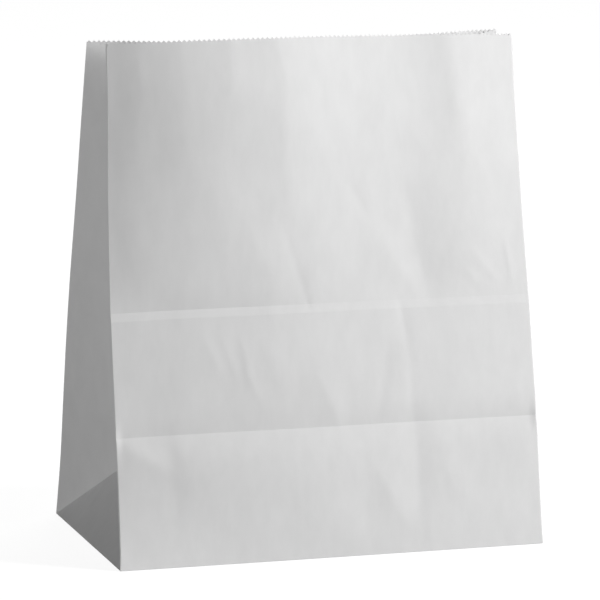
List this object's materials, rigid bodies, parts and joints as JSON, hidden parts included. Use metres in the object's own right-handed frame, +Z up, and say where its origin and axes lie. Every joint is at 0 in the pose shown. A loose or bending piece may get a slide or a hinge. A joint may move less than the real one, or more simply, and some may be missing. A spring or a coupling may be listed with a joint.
{
  "type": "paper bag",
  "caption": "White paper bag with a flat bottom, folded side gussets, fold creases across the front and a serrated open mouth, standing open.",
  "frame": {"origin": "centre of the bottom, on the surface the bag stands on", "axes": "+Z up through the mouth, +X to the right along the wide front panel, -Y out of the creased front panel, +Y out of the plain back panel"},
  "size_m": [0.3048, 0.1778, 0.3523],
  "materials": {
    "white_paper": "smooth matte bleached kraft paper, uncoated, with soft buckles and sharp fold creases"
  },
  "bodies": {
    "root": {"bag": "white_paper"}
  },
  "joints": []
}
